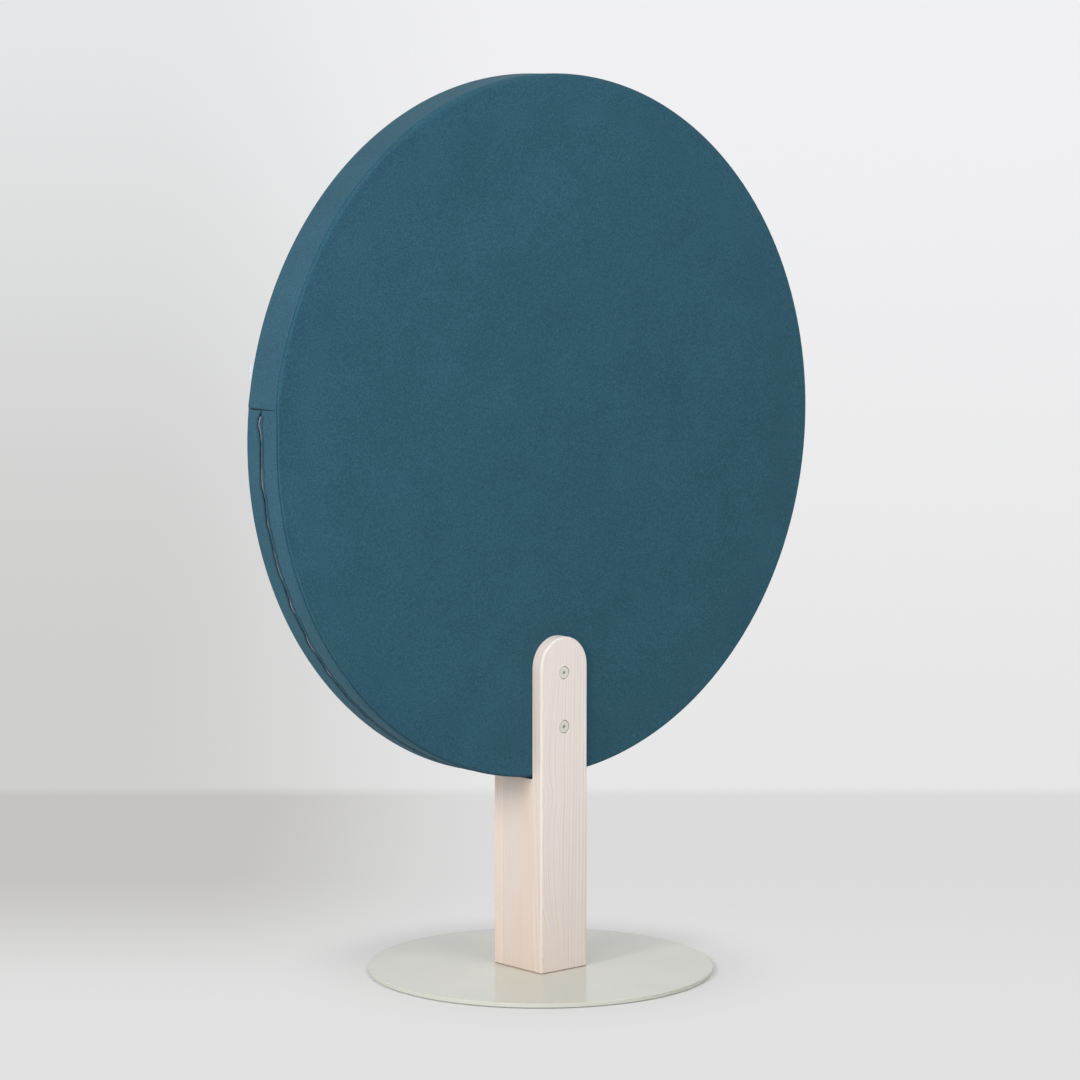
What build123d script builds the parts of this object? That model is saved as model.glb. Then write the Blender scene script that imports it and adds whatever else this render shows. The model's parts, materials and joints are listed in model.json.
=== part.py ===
from build123d import *

import os
from math import asin, atan2, cos, degrees, hypot, radians, sin, tan

os.makedirs("parts", exist_ok=True)

# A round acoustic screen: an upholstered disc held in a forked ash post on a steel base plate.
# Millimetres. The origin is on the floor under the middle of the base, +Z is up,
# X runs across the disc's face and the front of the screen looks towards -Y.

# Base plate and what is under it
base_diameter = 500.0
base_thickness = 6.0
base_edge_chamfer = 0.8
felt_thickness = 1.5
felt_margin = 8.0
felt_access_diameter = 24.0

# Post: two outer boards and three core boards, glued; the outer ones run on as the fork
board_width = 88.0
cheek_thickness = 19.0
fork_overlap = 202.5
core_board_count = 3
post_corner_round = 3.0
post_foot_chamfer = 1.0
slot_play = 0.5
slot_floor_gap = 1.5

# Panel
panel_diameter = 1000.0
panel_thickness = 65.0
panel_centre_height = 790.0
panel_corner_radius = 6.0
fabric_thickness = 1.2
wadding_thickness = 5.3
rim_wadding_thickness = 7.8
seam_angle = 45.0

# Wooden frame inside the panel
hoop_thickness = 12.0
rail_width = 36.0
block_width = 120.0
block_height_over_bolt = 40.0
absorber_play = 0.3

# Two bolts through the fork and the panel
bolt_drop = 52.0
bolt_spacing = 78.0
bolt_diameter = 8.0
bolt_length = 68.0
bolt_head_diameter = 17.5
bolt_head_thickness = 3.0
bolt_head_chamfer = 0.6
bolt_head_sink = 0.6
bolt_socket_width = 5.0
bolt_socket_depth = 4.5
sleeve_diameter = 10.0
sleeve_length = 54.0
sleeve_bore_depth = 45.5
thread_play = 0.05
bolt_hole_play = 0.3
head_recess_play = 0.8
tube_outer_diameter = 14.0
tube_wall = 1.6
tube_play = 0.2

# Eyelets where the tubes pass through the cover
eyelet_flange_diameter = 24.0
eyelet_flange_thickness = 0.3
eyelet_wall = 0.9
eyelet_washer_diameter = 22.0
eyelet_washer_thickness = 0.6
eyelet_play = 0.3
wadding_hole_play = 1.0

# Four screws that hold the post on the base plate, and their threaded inserts
base_screw_spacing_x = 56.0
base_screw_diameter = 8.0
base_screw_length = 28.0
base_screw_head_diameter = 15.6
base_screw_sink = 0.2
base_screw_socket_width = 5.0
base_screw_socket_depth = 3.0
base_screw_hole_play = 0.5
countersink_angle = 90.0
insert_diameter = 12.0
insert_length = 25.0
insert_sink = 0.5

# Screws through the hoop, and dowels between the block and the upright rail
frame_screw_diameter = 5.0
frame_screw_length = 50.0
frame_screw_head_diameter = 10.0
frame_screw_hole_play = 0.1
frame_screw_sink = 0.3
frame_screw_recess_width = 2.4
frame_screw_recess_depth = 2.0
block_screw_offset = 39.0
dowel_diameter = 8.0
dowel_length = 40.0
dowel_spacing = 20.0

# Zip in the lower half of the rim
zip_end_angle = 6.2
zip_gap = 5.0
tape_width = 12.0
tape_thickness = 0.6
chain_thickness = 2.2
chain_outer_drop = 0.6
chain_groove_depth = 0.5
chain_groove_width = 1.2
stop_length = 4.0
stop_margin = 3.0
stop_split = 1.2

# Slider and its pull
slider_length = 13.0
slider_width = 8.4
slider_plate_thickness = 1.2
slider_edge_round = 0.3
slider_fabric_play = 0.3
slider_chain_play = 0.4
slider_stop_play = 0.5
slider_tail_share = 0.74
neck_width = 2.4
neck_length = 4.0
flange_width = 1.0
flange_height = 1.0
groove_width = 14.0
groove_play = 0.4
crown_length = 8.4
crown_height = 3.0
crown_width = 2.4
crown_opening_length = 6.0
crown_opening_height = 1.8
crown_corner_round = 1.1
pull_length = 28.0
pull_width = 6.4
pull_thickness = 1.3
pull_eye_width = 3.2
pull_eye_length = 5.2
pull_hole_diameter = 3.0
pull_hole_margin = 4.0
pull_end_round = 2.6
post_clearance = 2.0

# Blank label sewn into the back seam
label_height = 26.0
label_reach = 9.0
label_thickness = 0.8
label_angle = 12.0
label_seat_play = 0.1

# How far a cut runs past what it cuts
overrun = 2.0

# Sizes that follow from those
post_foot = felt_thickness + base_thickness
slot_width = panel_thickness + 2 * slot_play
post_depth = slot_width + 2 * cheek_thickness
core_board_thickness = slot_width / core_board_count
panel_radius = panel_diameter / 2
panel_bottom = panel_centre_height - panel_radius
slot_floor = panel_bottom - slot_floor_gap
cheek_top = panel_bottom + fork_overlap
cheek_height = cheek_top - post_foot
bolt_heights = (cheek_top - bolt_drop, cheek_top - bolt_drop - bolt_spacing)
bolt_places = [(0, height) for height in bolt_heights]
head_face = post_depth / 2 - bolt_head_sink
core_depth = panel_thickness - 2 * (fabric_thickness + wadding_thickness)
fabric_inner_radius = panel_radius - fabric_thickness
hoop_outer_radius = fabric_inner_radius - rim_wadding_thickness
hoop_inner_radius = hoop_outer_radius - hoop_thickness
block_top = bolt_heights[0] + block_height_over_bolt
tube_bore_diameter = tube_outer_diameter - 2 * tube_wall
eyelet_bore_diameter = tube_outer_diameter + 2 * eyelet_play
eyelet_barrel_diameter = eyelet_bore_diameter + 2 * eyelet_wall
wadding_hole_diameter = eyelet_flange_diameter + 2 * wadding_hole_play
base_screw_places = [
    (x, y)
    for x in (-base_screw_spacing_x / 2, base_screw_spacing_x / 2)
    for y in (-core_board_thickness, core_board_thickness)
]
tape_outer_radius = fabric_inner_radius
tape_inner_radius = tape_outer_radius - tape_thickness
chain_outer_radius = panel_radius - chain_outer_drop
chain_inner_radius = chain_outer_radius - chain_thickness
slider_top_radius = panel_radius + slider_fabric_play
slider_crown_radius = slider_top_radius + slider_plate_thickness
slider_low_radius = chain_inner_radius - slider_chain_play - slider_plate_thickness
groove_radius = slider_low_radius - groove_play
pull_axis_radius = slider_crown_radius + crown_opening_height / 2

centre = Vector(0, 0, panel_centre_height)
panel_axis = Axis(centre, (0, 1, 0))
front = Plane.XZ
back = Plane(origin=(0, 0, 0), x_dir=(-1, 0, 0), z_dir=(0, 1, 0))


def outward(angle):
    """Direction from the panel's centre to its rim, counted from the right and up."""
    return Vector(cos(radians(angle)), 0, sin(radians(angle)))


def upward(angle):
    """Direction along the rim, square to outward, that points up on the right side."""
    return Vector(-sin(radians(angle)), 0, cos(radians(angle)))


def section(angle):
    """Plane that cuts the rim: its x is the distance from the centre, its y the depth."""
    return Plane(origin=centre, x_dir=outward(angle), z_dir=upward(angle))


def facing_out(angle, radius):
    """Plane on the rim that looks outwards: its x is the depth, its y runs along the rim."""
    return Plane(origin=centre + outward(angle) * radius, x_dir=(0, 1, 0), z_dir=outward(angle))


def along_rim(angle, radius):
    """Upright plane along the rim: its x runs along the rim, its y points outwards."""
    return Plane(origin=centre + outward(angle) * radius, x_dir=upward(angle), z_dir=(0, 1, 0))


def arc(length):
    """Angle that a length takes on the rim."""
    return degrees(length / panel_radius)


zip_sweep = 180 + 2 * zip_end_angle
upper_sweep = 360 - zip_sweep
stop_top = zip_end_angle - arc(stop_margin)
stop_bottom = stop_top - arc(stop_length)
slider_angle = stop_bottom - arc(slider_stop_play + slider_length / 2)
left_stop_top = 180 - zip_end_angle + arc(stop_margin)
left_stop_bottom = left_stop_top + arc(stop_length)
chain_sweep = slider_angle + 360 - left_stop_bottom


def save(piece, name):
    """Labels a finished piece and writes it under its own name."""
    piece.part.label = name
    export_step(piece.part, f"parts/{name}.step")


# Felt disc, glued under the base plate, with holes to reach the four screws
with BuildPart() as floor_felt:
    with BuildSketch(Plane.XY):
        Circle(base_diameter / 2 - felt_margin)
        with Locations(*base_screw_places):
            Circle(felt_access_diameter / 2, mode=Mode.SUBTRACT)
    extrude(amount=felt_thickness)
save(floor_felt, "floor_felt")

# Base plate, a steel disc countersunk from below
with BuildPart() as base_plate:
    with BuildSketch(Plane.XY.offset(felt_thickness)):
        Circle(base_diameter / 2)
    extrude(amount=base_thickness)
    chamfer(base_plate.edges().filter_by(GeomType.CIRCLE), base_edge_chamfer)
    underside = Plane(origin=(0, 0, felt_thickness), x_dir=(1, 0, 0), z_dir=(0, 0, -1))
    with Locations(underside):
        with Locations(*base_screw_places):
            CounterSinkHole(
                radius=base_screw_diameter / 2 + base_screw_hole_play,
                counter_sink_radius=base_screw_head_diameter / 2 + base_screw_hole_play,
                counter_sink_angle=countersink_angle,
            )
save(base_plate, "base_plate")

# Countersunk screws with a hexagon socket, driven up from under the plate
screw_head_face = felt_thickness + base_screw_sink
screw_cone_height = (base_screw_head_diameter - base_screw_diameter) / 2 / tan(radians(countersink_angle / 2))
with BuildPart() as base_screws:
    with Locations(*[(x, y, screw_head_face) for x, y in base_screw_places]):
        Cone(
            bottom_radius=base_screw_head_diameter / 2,
            top_radius=base_screw_diameter / 2,
            height=screw_cone_height,
            align=(Align.CENTER, Align.CENTER, Align.MIN),
        )
        Cylinder(
            base_screw_diameter / 2, base_screw_length, align=(Align.CENTER, Align.CENTER, Align.MIN)
        )
    with BuildSketch(Plane.XY.offset(screw_head_face)):
        with Locations(*base_screw_places):
            RegularPolygon(base_screw_socket_width / 2, 6, major_radius=False)
    extrude(amount=base_screw_socket_depth, mode=Mode.SUBTRACT)
save(base_screws, "base_screws")

# Threaded inserts in the foot of the post
insert_foot = post_foot + insert_sink
with BuildPart() as post_inserts:
    with BuildSketch(Plane.XY.offset(insert_foot)):
        with Locations(*base_screw_places):
            Circle(insert_diameter / 2)
            Circle(base_screw_diameter / 2 + thread_play, mode=Mode.SUBTRACT)
    extrude(amount=insert_length)
save(post_inserts, "post_inserts")

# Front outer board: it runs from the foot to the rounded top of the fork
with BuildPart() as cheek_front:
    with BuildSketch(front.offset(slot_width / 2)):
        with Locations((0, post_foot)):
            Rectangle(board_width, cheek_height - board_width / 2, align=(Align.CENTER, Align.MIN))
        with Locations((0, cheek_top - board_width / 2)):
            Circle(board_width / 2)
    extrude(amount=cheek_thickness)
    outer_edges = cheek_front.faces().sort_by(Axis.Y)[0].edges()
    fillet(outer_edges.sort_by(Axis.Z)[1:], post_corner_round)
    foot_edges = cheek_front.faces().sort_by(Axis.Z)[0].edges()
    chamfer(foot_edges.sort_by(Axis.Y)[:-1], post_foot_chamfer)
    with Locations(front.offset(post_depth / 2)):
        with Locations(*bolt_places):
            CounterBoreHole(
                radius=sleeve_diameter / 2 + bolt_hole_play,
                counter_bore_radius=bolt_head_diameter / 2 + head_recess_play,
                counter_bore_depth=bolt_head_thickness + bolt_head_sink,
            )
save(cheek_front, "cheek_front")

# Back outer board, the same one turned to the other side
with BuildPart() as cheek_back:
    mirror(cheek_front.part, about=Plane.XZ)
save(cheek_back, "cheek_back")

# Core boards: they end below the panel, so that the outer boards stand up as a fork
for index, name in enumerate(("core_board_front", "core_board_middle", "core_board_back")):
    middle = -slot_width / 2 + core_board_thickness * (index + 0.5)
    with BuildPart() as core_board:
        with BuildSketch(Plane.XY.offset(post_foot)):
            with Locations((0, middle)):
                Rectangle(board_width, core_board_thickness)
        extrude(amount=slot_floor - post_foot)
        foot_sides = core_board.faces().sort_by(Axis.Z)[0].edges().filter_by(Axis.Y)
        chamfer(foot_sides, post_foot_chamfer)
        with BuildSketch(Plane.XY.offset(post_foot)):
            with Locations(*base_screw_places):
                Circle(insert_diameter / 2)
        extrude(amount=insert_sink + insert_length + overrun, mode=Mode.SUBTRACT)
    save(core_board, name)

# Two bolts with flat heads, from the front
with BuildPart() as clamp_bolts:
    with BuildSketch(front.offset(head_face)):
        with Locations(*bolt_places):
            Circle(bolt_head_diameter / 2)
    extrude(amount=-bolt_head_thickness)
    rims = clamp_bolts.edges().filter_by(GeomType.CIRCLE).group_by(Axis.Y)[0]
    chamfer(rims, bolt_head_chamfer)
    with BuildSketch(front.offset(head_face)):
        with Locations(*bolt_places):
            Circle(bolt_diameter / 2)
    extrude(amount=-bolt_length)
    with BuildSketch(front.offset(head_face)):
        with Locations(*bolt_places):
            RegularPolygon(bolt_socket_width / 2, 6, major_radius=False)
    extrude(amount=-bolt_socket_depth, mode=Mode.SUBTRACT)
save(clamp_bolts, "clamp_bolts")

# Two sleeve nuts with the same heads, from the back; the bolts screw into them
with BuildPart() as sleeve_nuts:
    with BuildSketch(back.offset(head_face)):
        with Locations(*bolt_places):
            Circle(bolt_head_diameter / 2)
    extrude(amount=-bolt_head_thickness)
    rims = sleeve_nuts.edges().filter_by(GeomType.CIRCLE).group_by(Axis.Y)[-1]
    chamfer(rims, bolt_head_chamfer)
    with BuildSketch(back.offset(head_face)):
        with Locations(*bolt_places):
            Circle(sleeve_diameter / 2)
    extrude(amount=-sleeve_length)
    with BuildSketch(back.offset(head_face - sleeve_length)):
        with Locations(*bolt_places):
            Circle(bolt_diameter / 2 + thread_play)
    extrude(amount=sleeve_bore_depth, mode=Mode.SUBTRACT)
    with BuildSketch(back.offset(head_face)):
        with Locations(*bolt_places):
            RegularPolygon(bolt_socket_width / 2, 6, major_radius=False)
    extrude(amount=-bolt_socket_depth, mode=Mode.SUBTRACT)
save(sleeve_nuts, "sleeve_nuts")

# Tubes through the panel that keep the fork's pull off the soft layers
with BuildPart() as spacer_tubes:
    with BuildSketch(front):
        with Locations(*bolt_places):
            Circle(tube_outer_diameter / 2)
            Circle(tube_bore_diameter / 2, mode=Mode.SUBTRACT)
    extrude(amount=slot_width / 2, both=True)
save(spacer_tubes, "spacer_tubes")

# Eyelets, pressed round the tubes' holes in both faces of the cover
with BuildPart() as cover_eyelets:
    for side in (front, back):
        with BuildSketch(side.offset(panel_thickness / 2)):
            with Locations(*bolt_places):
                Circle(eyelet_flange_diameter / 2)
        extrude(amount=eyelet_flange_thickness)
        with BuildSketch(side.offset(panel_thickness / 2)):
            with Locations(*bolt_places):
                Circle(eyelet_barrel_diameter / 2)
        extrude(amount=-fabric_thickness)
        with BuildSketch(side.offset(panel_thickness / 2 - fabric_thickness)):
            with Locations(*bolt_places):
                Circle(eyelet_washer_diameter / 2)
        extrude(amount=-eyelet_washer_thickness)
    with BuildSketch(front):
        with Locations(*bolt_places):
            Circle(eyelet_bore_diameter / 2)
    extrude(amount=post_depth, both=True, mode=Mode.SUBTRACT)
save(cover_eyelets, "cover_eyelets")

# Frame screws: two up into the block, three into the ends of the rails
block_screw_angle = degrees(asin(block_screw_offset / hoop_outer_radius))
frame_screw_angles = (0, 90, 180, 270 - block_screw_angle, 270 + block_screw_angle)
frame_screw_holes = [facing_out(angle, hoop_outer_radius) for angle in frame_screw_angles]
frame_screw_seats = [hole.offset(-frame_screw_sink) for hole in frame_screw_holes]
frame_screw_cone = (frame_screw_head_diameter - frame_screw_diameter) / 2
with BuildPart() as frame_screws:
    with Locations(*frame_screw_seats):
        Cone(
            bottom_radius=frame_screw_diameter / 2,
            top_radius=frame_screw_head_diameter / 2,
            height=frame_screw_cone,
            align=(Align.CENTER, Align.CENTER, Align.MAX),
        )
        Cylinder(
            frame_screw_diameter / 2, frame_screw_length, align=(Align.CENTER, Align.CENTER, Align.MAX)
        )
        Box(
            frame_screw_recess_width,
            frame_screw_recess_width,
            frame_screw_recess_depth,
            align=(Align.CENTER, Align.CENTER, Align.MAX),
            mode=Mode.SUBTRACT,
        )
save(frame_screws, "frame_screws")

# Hoop, bent and glued from thin plies
with BuildPart() as frame_hoop:
    with BuildSketch(section(0)):
        with Locations(((hoop_inner_radius + hoop_outer_radius) / 2, 0)):
            Rectangle(hoop_thickness, core_depth)
    revolve(axis=panel_axis)
    with Locations(*frame_screw_holes):
        CounterSinkHole(
            radius=frame_screw_diameter / 2 + frame_screw_hole_play,
            counter_sink_radius=frame_screw_head_diameter / 2 + frame_screw_sink + frame_screw_hole_play,
            counter_sink_angle=countersink_angle,
            depth=hoop_thickness + overrun,
        )
save(frame_hoop, "frame_hoop")

# Solid block that the bolts pass through, shaped to the hoop at its foot
dowel_places = [(-dowel_spacing / 2, 0, block_top), (dowel_spacing / 2, 0, block_top)]
with BuildPart() as mounting_block:
    with BuildSketch(front.offset(-core_depth / 2)):
        with Locations((0, panel_centre_height)):
            Circle(hoop_inner_radius)
        with Locations((0, block_top)):
            Rectangle(block_width, panel_radius, align=(Align.CENTER, Align.MAX), mode=Mode.INTERSECT)
        with Locations(*bolt_places):
            Circle(tube_outer_diameter / 2 + tube_play, mode=Mode.SUBTRACT)
    extrude(amount=core_depth)
    with Locations(*frame_screw_seats[-2:]):
        Cylinder(
            frame_screw_diameter / 2,
            frame_screw_length,
            align=(Align.CENTER, Align.CENTER, Align.MAX),
            mode=Mode.SUBTRACT,
        )
    with Locations(*dowel_places):
        Cylinder(dowel_diameter / 2, dowel_length, mode=Mode.SUBTRACT)
save(mounting_block, "mounting_block")

# Upright rail from the block to the top of the hoop, halved over the cross rail
with BuildPart() as spine_rail:
    with BuildSketch(front.offset(-core_depth / 2)):
        with Locations((0, panel_centre_height)):
            Circle(hoop_inner_radius)
        with Locations((0, block_top)):
            Rectangle(rail_width, panel_diameter, align=(Align.CENTER, Align.MIN), mode=Mode.INTERSECT)
    extrude(amount=core_depth)
    with BuildSketch(front):
        with Locations((0, panel_centre_height)):
            Rectangle(rail_width, rail_width)
    extrude(amount=core_depth / 2, mode=Mode.SUBTRACT)
    with Locations(frame_screw_seats[1]):
        Cylinder(
            frame_screw_diameter / 2,
            frame_screw_length,
            align=(Align.CENTER, Align.CENTER, Align.MAX),
            mode=Mode.SUBTRACT,
        )
    with Locations(*dowel_places):
        Cylinder(dowel_diameter / 2, dowel_length, mode=Mode.SUBTRACT)
save(spine_rail, "spine_rail")

# Cross rail, halved into the upright one
with BuildPart() as cross_rail:
    with BuildSketch(front.offset(-core_depth / 2)):
        with Locations((0, panel_centre_height)):
            Circle(hoop_inner_radius)
            Rectangle(panel_diameter, rail_width, mode=Mode.INTERSECT)
    extrude(amount=core_depth)
    with BuildSketch(back):
        with Locations((0, panel_centre_height)):
            Rectangle(rail_width, rail_width)
    extrude(amount=core_depth / 2, mode=Mode.SUBTRACT)
    with Locations(frame_screw_seats[0], frame_screw_seats[2]):
        Cylinder(
            frame_screw_diameter / 2,
            frame_screw_length,
            align=(Align.CENTER, Align.CENTER, Align.MAX),
            mode=Mode.SUBTRACT,
        )
save(cross_rail, "cross_rail")

# Dowels between the block and the upright rail
with BuildPart() as spine_dowels:
    with Locations(*dowel_places):
        Cylinder(dowel_diameter / 2, dowel_length)
save(spine_dowels, "spine_dowels")

# Four sound absorbing slabs, cut to the fields between the rails
for level, rise in (("lower", -1), ("upper", 1)):
    for side, turn in (("left", -1), ("right", 1)):
        with BuildPart() as absorber:
            with BuildSketch(front.offset(-core_depth / 2)):
                with Locations((0, panel_centre_height)):
                    Circle(hoop_inner_radius - absorber_play)
                reach = rail_width / 2 + panel_radius
                with Locations((turn * reach / 2, panel_centre_height + rise * reach / 2)):
                    Rectangle(reach, reach, mode=Mode.INTERSECT)
                with Locations((0, panel_centre_height)):
                    Rectangle(rail_width, panel_diameter, mode=Mode.SUBTRACT)
                    Rectangle(panel_diameter, rail_width, mode=Mode.SUBTRACT)
                with Locations((0, block_top)):
                    Rectangle(
                        block_width, panel_radius, align=(Align.CENTER, Align.MAX), mode=Mode.SUBTRACT
                    )
            extrude(amount=core_depth)
        save(absorber, f"absorber_{level}_{side}")

# Wadding discs over both faces of the frame, rounded over at the rim
for name, side in (("wadding_front", front), ("wadding_back", back)):
    with BuildPart() as wadding:
        with BuildSketch(side.offset(core_depth / 2)):
            with Locations((0, panel_centre_height)):
                Circle(fabric_inner_radius)
        extrude(amount=wadding_thickness)
        face_edges = wadding.faces().sort_by(Axis(side.origin, side.z_dir))[-1].edges()
        fillet(face_edges, panel_corner_radius - fabric_thickness)
        with BuildSketch(side.offset(core_depth / 2)):
            with Locations(*bolt_places):
                Circle(wadding_hole_diameter / 2)
        extrude(amount=wadding_thickness, mode=Mode.SUBTRACT)
    save(wadding, name)

# Wadding round the hoop, with a pocket for the tapes and a groove for the slider
rim_wadding_sizes = (fabric_inner_radius - hoop_outer_radius, core_depth)
with BuildPart() as rim_wadding:
    with BuildSketch(section(zip_end_angle)):
        with Locations(((hoop_outer_radius + fabric_inner_radius) / 2, 0)):
            Rectangle(*rim_wadding_sizes)
    revolve(axis=panel_axis)
    with BuildSketch(section(zip_end_angle)):
        with Locations((tape_inner_radius, 0)):
            Rectangle(tape_thickness + overrun, zip_gap + 2 * tape_width, align=(Align.MIN, Align.CENTER))
        with Locations((groove_radius, 0)):
            Rectangle(panel_radius - groove_radius, groove_width, align=(Align.MIN, Align.CENTER))
    revolve(axis=panel_axis, revolution_arc=zip_sweep, mode=Mode.SUBTRACT)
save(rim_wadding, "rim_wadding")

# Cover: outline points of the rounded corner, on the front side
corner_centre = (panel_radius - panel_corner_radius, -panel_thickness / 2 + panel_corner_radius)
corner_inner_radius = panel_corner_radius - fabric_thickness


def corner_point(radius, angle):
    """Point of the cover's corner, 0 degrees on the face and 90 degrees on the rim."""
    return (
        corner_centre[0] + radius * sin(radians(angle)),
        corner_centre[1] - radius * cos(radians(angle)),
    )


def corner_arc(radius, start, end):
    """Arc of the cover's corner between two angles."""
    middle = (start + end) / 2
    return ThreePointArc(corner_point(radius, start), corner_point(radius, middle), corner_point(radius, end))


# Face fabric, from the middle to the seam on the rounded corner
with BuildPart() as cover_front:
    with BuildSketch(section(0)):
        with BuildLine():
            Line((0, -panel_thickness / 2), corner_point(panel_corner_radius, 0))
            corner_arc(panel_corner_radius, 0, seam_angle)
            Line(
                corner_point(panel_corner_radius, seam_angle), corner_point(corner_inner_radius, seam_angle)
            )
            corner_arc(corner_inner_radius, seam_angle, 0)
            Line(corner_point(corner_inner_radius, 0), (0, -panel_thickness / 2 + fabric_thickness))
            Line((0, -panel_thickness / 2 + fabric_thickness), (0, -panel_thickness / 2))
        make_face()
    revolve(axis=panel_axis)
    with Locations(front.offset(panel_thickness / 2)):
        with Locations(*bolt_places):
            Hole(eyelet_barrel_diameter / 2, depth=panel_thickness / 2)
save(cover_front, "cover_front")

with BuildPart() as cover_back:
    mirror(cover_front.part, about=Plane.XZ)
save(cover_back, "cover_back")


def border_half(inner_end):
    """Outline of the border fabric from the front seam to a place across the rim."""
    with BuildLine() as outline:
        corner_arc(panel_corner_radius, seam_angle, 90)
        Line(corner_point(panel_corner_radius, 90), (panel_radius, inner_end))
        Line((panel_radius, inner_end), (fabric_inner_radius, inner_end))
        Line((fabric_inner_radius, inner_end), corner_point(corner_inner_radius, 90))
        corner_arc(corner_inner_radius, 90, seam_angle)
        Line(corner_point(corner_inner_radius, seam_angle), corner_point(panel_corner_radius, seam_angle))
    return outline.edges()


# Border fabric over the upper part of the rim, in one piece from seam to seam
with BuildPart() as border_upper:
    with BuildSketch(section(180 - zip_end_angle)):
        make_face(border_half(0))
        mirror(about=Plane.XZ)
    revolve(axis=panel_axis, revolution_arc=upper_sweep)
save(border_upper, "border_upper")

# Border strips on both sides of the zip
with BuildPart() as border_lower_front:
    with BuildSketch(section(zip_end_angle)):
        make_face(border_half(-zip_gap / 2))
    revolve(axis=panel_axis, revolution_arc=zip_sweep)
save(border_lower_front, "border_lower_front")

with BuildPart() as border_lower_back:
    mirror(border_lower_front.part, about=Plane.XZ)
save(border_lower_back, "border_lower_back")

# Zip tapes, sewn under the folded edges of the border strips
with BuildPart() as zip_tape_front:
    with BuildSketch(section(zip_end_angle)):
        with Locations((tape_inner_radius, -zip_gap / 2)):
            Rectangle(tape_thickness, tape_width, align=(Align.MIN, Align.MAX))
    revolve(axis=panel_axis, revolution_arc=zip_sweep)
save(zip_tape_front, "zip_tape_front")

with BuildPart() as zip_tape_back:
    mirror(zip_tape_front.part, about=Plane.XZ)
save(zip_tape_back, "zip_tape_back")

# Closed chain of the zip: two coils side by side, from the slider to the left stop
with BuildPart() as zip_chain:
    with BuildSketch(section(slider_angle)):
        with BuildLine():
            Polyline(
                (chain_inner_radius, -zip_gap / 2),
                (chain_outer_radius, -zip_gap / 2),
                (chain_outer_radius, -chain_groove_width / 2),
                (chain_outer_radius - chain_groove_depth, 0),
                (chain_outer_radius, chain_groove_width / 2),
                (chain_outer_radius, zip_gap / 2),
                (chain_inner_radius, zip_gap / 2),
                close=True,
            )
        make_face()
    revolve(axis=panel_axis, revolution_arc=chain_sweep)
save(zip_chain, "zip_chain")

# Stops: one on each tape above the slider, and one across both tapes at the left end
with BuildPart() as zip_stops:
    with BuildSketch(section(stop_top)):
        with Locations(((chain_inner_radius + chain_outer_radius) / 2, 0)):
            Rectangle(chain_thickness, zip_gap)
            Rectangle(chain_thickness, stop_split, mode=Mode.SUBTRACT)
    revolve(axis=panel_axis, revolution_arc=arc(stop_length))
    with BuildSketch(section(left_stop_bottom)):
        with Locations(((chain_inner_radius + chain_outer_radius) / 2, 0)):
            Rectangle(chain_thickness, zip_gap)
    revolve(axis=panel_axis, revolution_arc=arc(stop_length))
save(zip_stops, "zip_stops")

# Slider: a plate over the fabric and one under the chain, joined by the neck, with a crown
tail_width = slider_width * slider_tail_share
slider_outline = [
    (-slider_width / 2, slider_length / 2),
    (slider_width / 2, slider_length / 2),
    (slider_width / 2, 0),
    (tail_width / 2, -slider_length / 2),
    (-tail_width / 2, -slider_length / 2),
    (-slider_width / 2, 0),
]
flange_spacing = slider_width - flange_width
with BuildPart() as zip_slider:
    for radius in (slider_low_radius, slider_top_radius):
        with BuildSketch(facing_out(slider_angle, radius)):
            with BuildLine():
                Polyline(*slider_outline, close=True)
            make_face()
        extrude(amount=slider_plate_thickness)
    fillet(zip_slider.faces().sort_by(Axis(centre, outward(slider_angle)))[-1].edges(), slider_edge_round)
    with BuildSketch(facing_out(slider_angle, slider_low_radius + slider_plate_thickness)):
        with Locations((0, slider_length / 2 - neck_length / 2)):
            Rectangle(neck_width, neck_length)
    extrude(amount=slider_top_radius - slider_low_radius - slider_plate_thickness)
    with BuildSketch(facing_out(slider_angle, slider_low_radius + slider_plate_thickness)):
        with Locations((0, slider_length / 4)):
            with GridLocations(flange_spacing, slider_length, 2, 1):
                Rectangle(flange_width, slider_length / 2)
    extrude(amount=flange_height)
    with BuildSketch(along_rim(slider_angle, slider_crown_radius)) as crown:
        Rectangle(crown_length, crown_height, align=(Align.CENTER, Align.MIN))
        fillet(crown.vertices().group_by(Axis.Y)[-1], crown_corner_round)
        Rectangle(
            crown_opening_length,
            crown_opening_height,
            align=(Align.CENTER, Align.MIN),
            mode=Mode.SUBTRACT,
        )
    extrude(amount=crown_width / 2, both=True)
save(zip_slider, "zip_slider")

# Pull: a flat tab whose eye goes round the crown, with a round bar through the crown's opening
pull_axis_place = centre + outward(slider_angle) * pull_axis_radius
with BuildPart() as zip_pull:
    with BuildSketch(facing_out(slider_angle, pull_axis_radius - pull_thickness / 2)) as tab:
        Rectangle(pull_width, pull_length, align=(Align.CENTER, Align.MAX))
        fillet(tab.vertices().group_by(Axis.Y)[0], pull_end_round)
        Rectangle(pull_eye_width, pull_eye_length, align=(Align.CENTER, Align.MAX), mode=Mode.SUBTRACT)
        with Locations((0, pull_hole_margin - pull_length)):
            Circle(pull_hole_diameter / 2, mode=Mode.SUBTRACT)
    extrude(amount=pull_thickness)
    with Locations(Plane(origin=pull_axis_place, x_dir=outward(slider_angle), z_dir=(0, 1, 0))):
        Cylinder(pull_thickness / 2, pull_width)
save(zip_pull, "zip_pull")

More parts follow.
